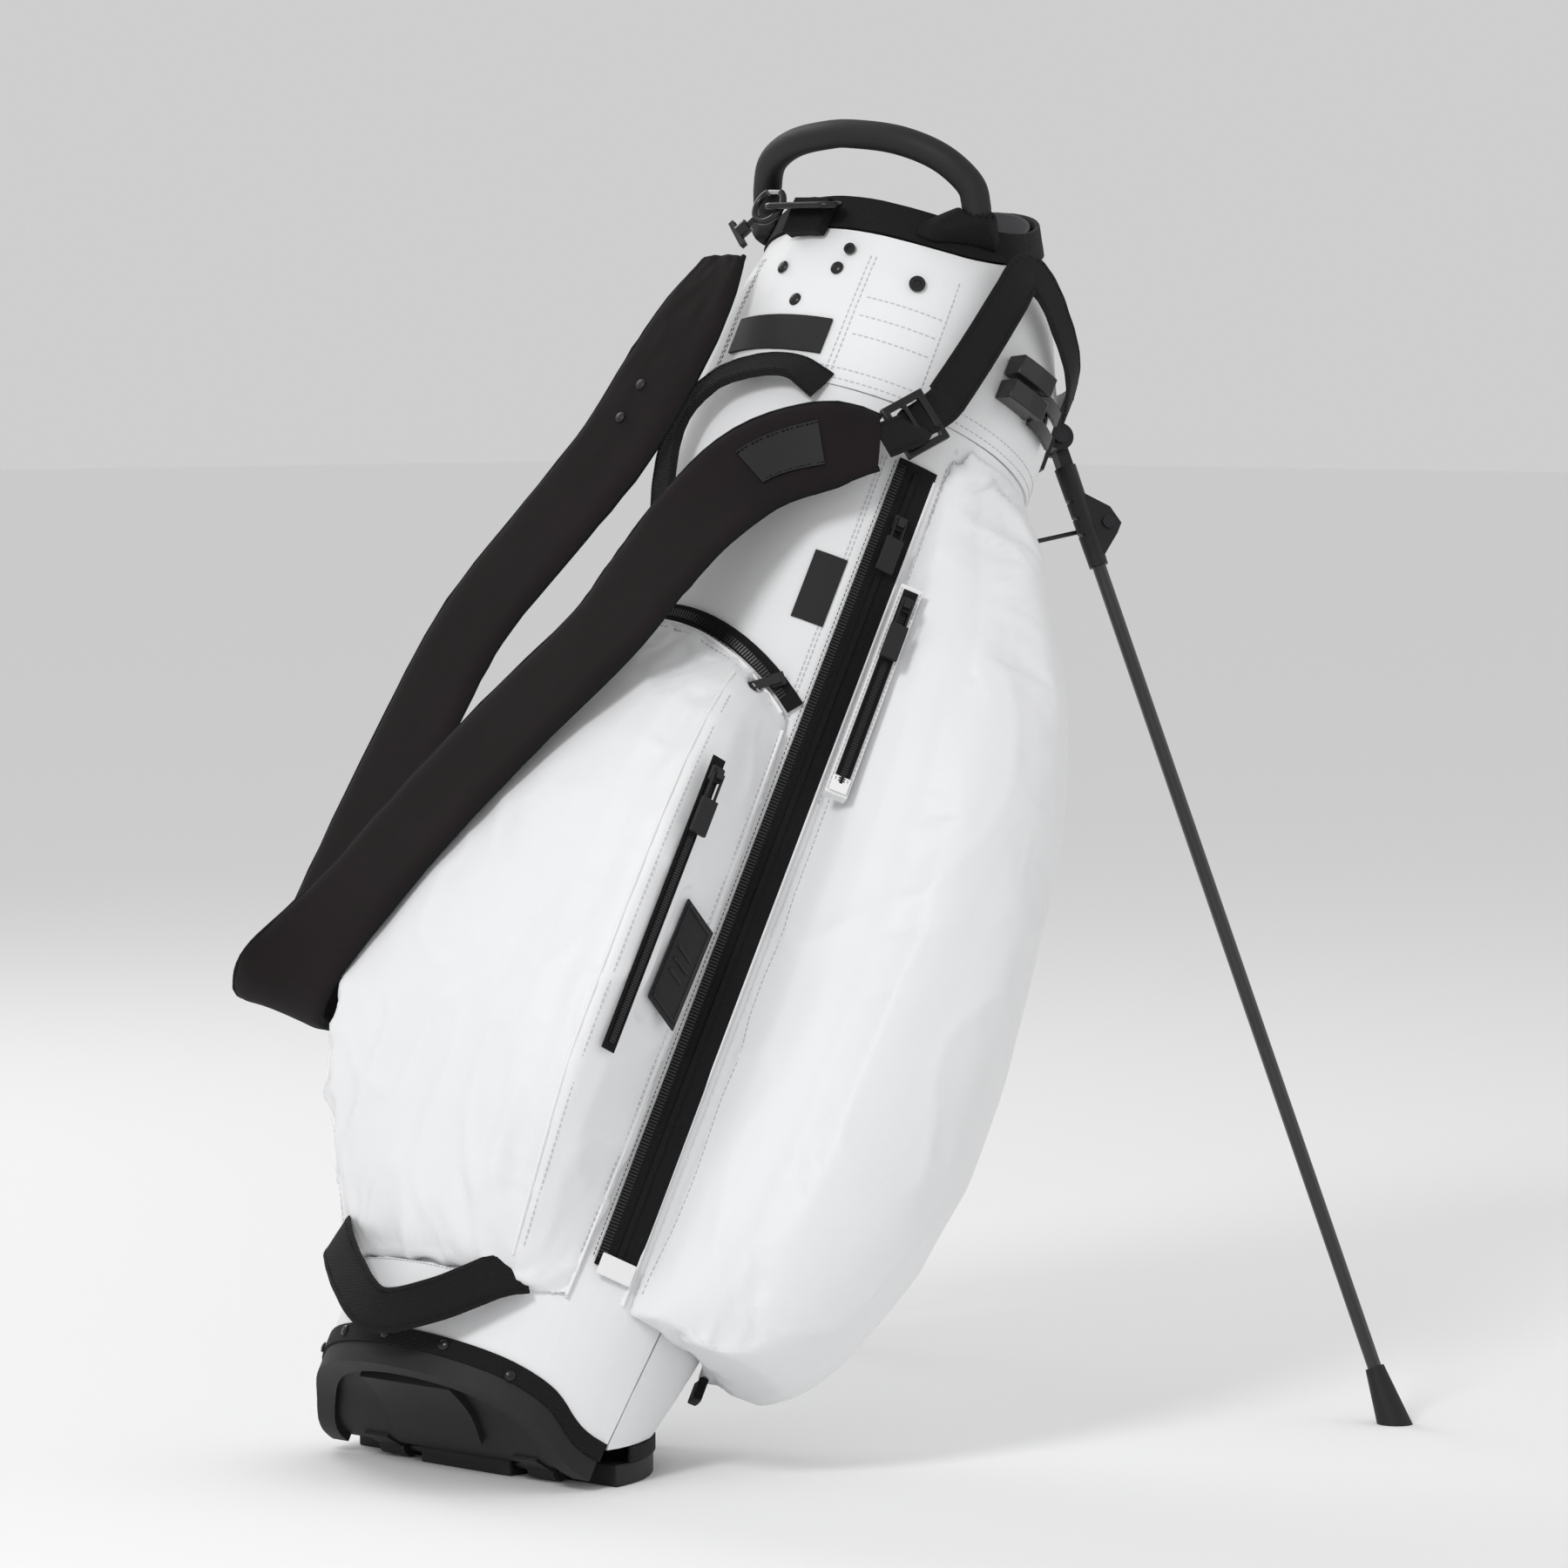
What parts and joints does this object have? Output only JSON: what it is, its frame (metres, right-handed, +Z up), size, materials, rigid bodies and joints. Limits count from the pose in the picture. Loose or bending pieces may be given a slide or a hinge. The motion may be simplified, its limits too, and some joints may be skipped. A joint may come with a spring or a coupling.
{
  "type": "golf stand bag",
  "caption": "Lightweight golf stand bag leaning on two deployed legs, with hinged base, divided top, pockets, carrying handles and padded shoulder strap.",
  "frame": {"origin": "centre of the base hinge line on the floor, under the heel plate's hinge lug", "axes": "+Z up, +X towards the legs, +Y across the bag; the bag leans 29 degrees towards +X"},
  "size_m": [0.6669, 0.639, 0.8723],
  "materials": {
    "white_fabric": "coated weave",
    "black_fabric": "woven",
    "lining": "woven",
    "black_plastic": "matte",
    "dark_plastic": "satin",
    "leg_aluminium": "satin black",
    "steel": "satin",
    "black_steel": "black",
    "rubber": "matte"
  },
  "bodies": {
    "bag": {"body_tube": "white_fabric", "spine_stays": "steel", "club_dividers": "lining", "divider_top": "dark_plastic", "collar_binding": "black_fabric", "collar_ears": "black_fabric", "top_handle": "rubber", "cuff_panel": "white_fabric", "cuff_patch": "black_fabric", "cuff_studs": "black_plastic", "garment_pocket": "white_fabric", "ball_pocket": "white_fabric", "accessory_pocket": "white_fabric", "garment_zip": "black_fabric", "short_zips": "black_fabric", "ball_zip": "black_fabric", "ball_zip_slider": "black_plastic", "badges": "black_fabric", "grab_handle": "black_fabric", "base_handle": "black_fabric", "base_handle_pad": "white_fabric", "toe_shell": "dark_plastic", "toe_binding": "black_fabric", "base_rivets": "steel", "base_hinge_pin": "steel", "heel_gusset": "white_fabric", "rear_pull_loop": "black_fabric", "leg_bracket": "dark_plastic", "bracket_screws": "steel", "rod_guides": "dark_plastic", "shoulder_strap": "black_fabric", "strap_buckle": "dark_plastic", "strap_webbing": "black_fabric", "keeper_straps": "rubber", "strap_snaps": "steel", "ring_tab": "black_fabric", "swivel_base": "black_plastic"},
    "heel": {"heel_shell": "dark_plastic", "heel_binding": "black_fabric"},
    "near_leg": {"near_leg_fitting": "dark_plastic", "near_leg_tube": "leg_aluminium", "near_leg_boot": "rubber", "lug_screws_near": "steel"},
    "far_leg": {"far_leg_fitting": "dark_plastic", "far_leg_tube": "leg_aluminium", "far_leg_boot": "rubber", "lug_screws_far": "steel"},
    "actuator": {"actuator_rod": "black_steel", "rod_heads": "dark_plastic"},
    "near_link": {"near_wire_link": "black_steel"},
    "far_link": {"far_wire_link": "black_steel"},
    "garment_slider": {"garment_zip_slider": "black_plastic"},
    "garment_pull": {"garment_zip_pull": "black_plastic"},
    "chest_slider": {"chest_zip_slider": "black_plastic"},
    "chest_pull": {"chest_zip_pull": "black_plastic"},
    "valuables_slider": {"valuables_zip_slider": "black_plastic"},
    "valuables_pull": {"valuables_zip_pull": "black_plastic"},
    "ring": {"d_ring": "black_plastic"},
    "hook": {"swivel_hook": "black_plastic"},
    "gate": {"hook_gate": "steel"}
  },
  "joints": [
    {"name": "near_leg_fold", "type": "hinge", "parent": "bag", "child": "near_leg", "pos_m": [0.49833, -0.051, 0.65561], "axis": [0.4992, 0.8211, -0.2767], "range_deg": [0, 39.4]},
    {"name": "far_leg_fold", "type": "hinge", "parent": "bag", "child": "far_leg", "pos_m": [0.49833, 0.051, 0.65561], "axis": [-0.4992, 0.8211, 0.2767], "range_deg": [0, 39.4]},
    {"name": "heel_fold", "type": "hinge", "parent": "bag", "child": "heel", "pos_m": [0, 0, 0.008], "axis": [0, 1, 0], "range_deg": [0, 29]},
    {"name": "actuator_slide", "type": "slide", "parent": "bag", "child": "actuator", "axis": [-0.4848, 0, -0.8746], "range_m": [0, 0.06617]},
    {"name": "near_link_turn", "type": "hinge", "parent": "near_leg", "child": "near_link", "pos_m": [0.51655, -0.08116, 0.59897], "axis": [-0.4992, -0.8211, 0.2767], "range_deg": [0, 73.38]},
    {"name": "far_link_turn", "type": "hinge", "parent": "far_leg", "child": "far_link", "pos_m": [0.51655, 0.08116, 0.59897], "axis": [0.4992, -0.8211, -0.2767], "range_deg": [0, 73.38]},
    {"name": "garment_zip_slide", "type": "slide", "parent": "bag", "child": "garment_slider", "axis": [-0.4848, 0, -0.8746], "range_m": [0, 0.5]},
    {"name": "garment_pull_swing", "type": "hinge", "parent": "garment_slider", "child": "garment_pull", "pos_m": [0.2757, -0.11684, 0.60408], "axis": [-0.7861, 0.4384, 0.4357], "range_deg": [0, 70]},
    {"name": "chest_zip_slide", "type": "slide", "parent": "bag", "child": "chest_slider", "axis": [-0.5123, -0.0412, -0.8578], "range_m": [0, 0.12]},
    {"name": "chest_pull_swing", "type": "hinge", "parent": "chest_slider", "child": "chest_pull", "pos_m": [0.24986, -0.1473, 0.55232], "axis": [-0.6892, 0.6157, 0.382], "range_deg": [0, 70]},
    {"name": "valuables_zip_slide", "type": "slide", "parent": "bag", "child": "valuables_slider", "axis": [-0.4848, 0, -0.8746], "range_m": [0, 0.18]},
    {"name": "valuables_pull_swing", "type": "hinge", "parent": "valuables_slider", "child": "valuables_pull", "pos_m": [0.09021, -0.13404, 0.4485], "axis": [-0.8555, 0.2079, 0.4742], "range_deg": [0, 70]},
    {"name": "ring_swing", "type": "hinge", "parent": "bag", "child": "ring", "pos_m": [0.32198, 0.01, 0.81395], "axis": [0, 1, 0], "range_deg": [-4, 4]},
    {"name": "hook_swivel", "type": "hinge", "parent": "bag", "child": "hook", "pos_m": [0.31392, 0.042, 0.81385], "axis": [-0.3614, 0.6665, -0.652], "range_deg": [-10, 10]},
    {"name": "gate_press", "type": "hinge", "parent": "hook", "child": "gate", "pos_m": [0.31907, 0.0364, 0.82313], "axis": [-0.8746, 0, 0.4848], "range_deg": [0, 22]}
  ],
  "couplings": [
    {"joint": "far_leg_fold", "follows": "near_leg_fold", "ratio": 1},
    {"joint": "heel_fold", "follows": "near_leg_fold", "ratio": 0.73604},
    {"joint": "actuator_slide", "follows": "near_leg_fold", "m_per_rad": 0.096228},
    {"joint": "near_link_turn", "follows": "near_leg_fold", "ratio": 1.8623},
    {"joint": "far_link_turn", "follows": "near_leg_fold", "ratio": 1.8623}
  ]
}
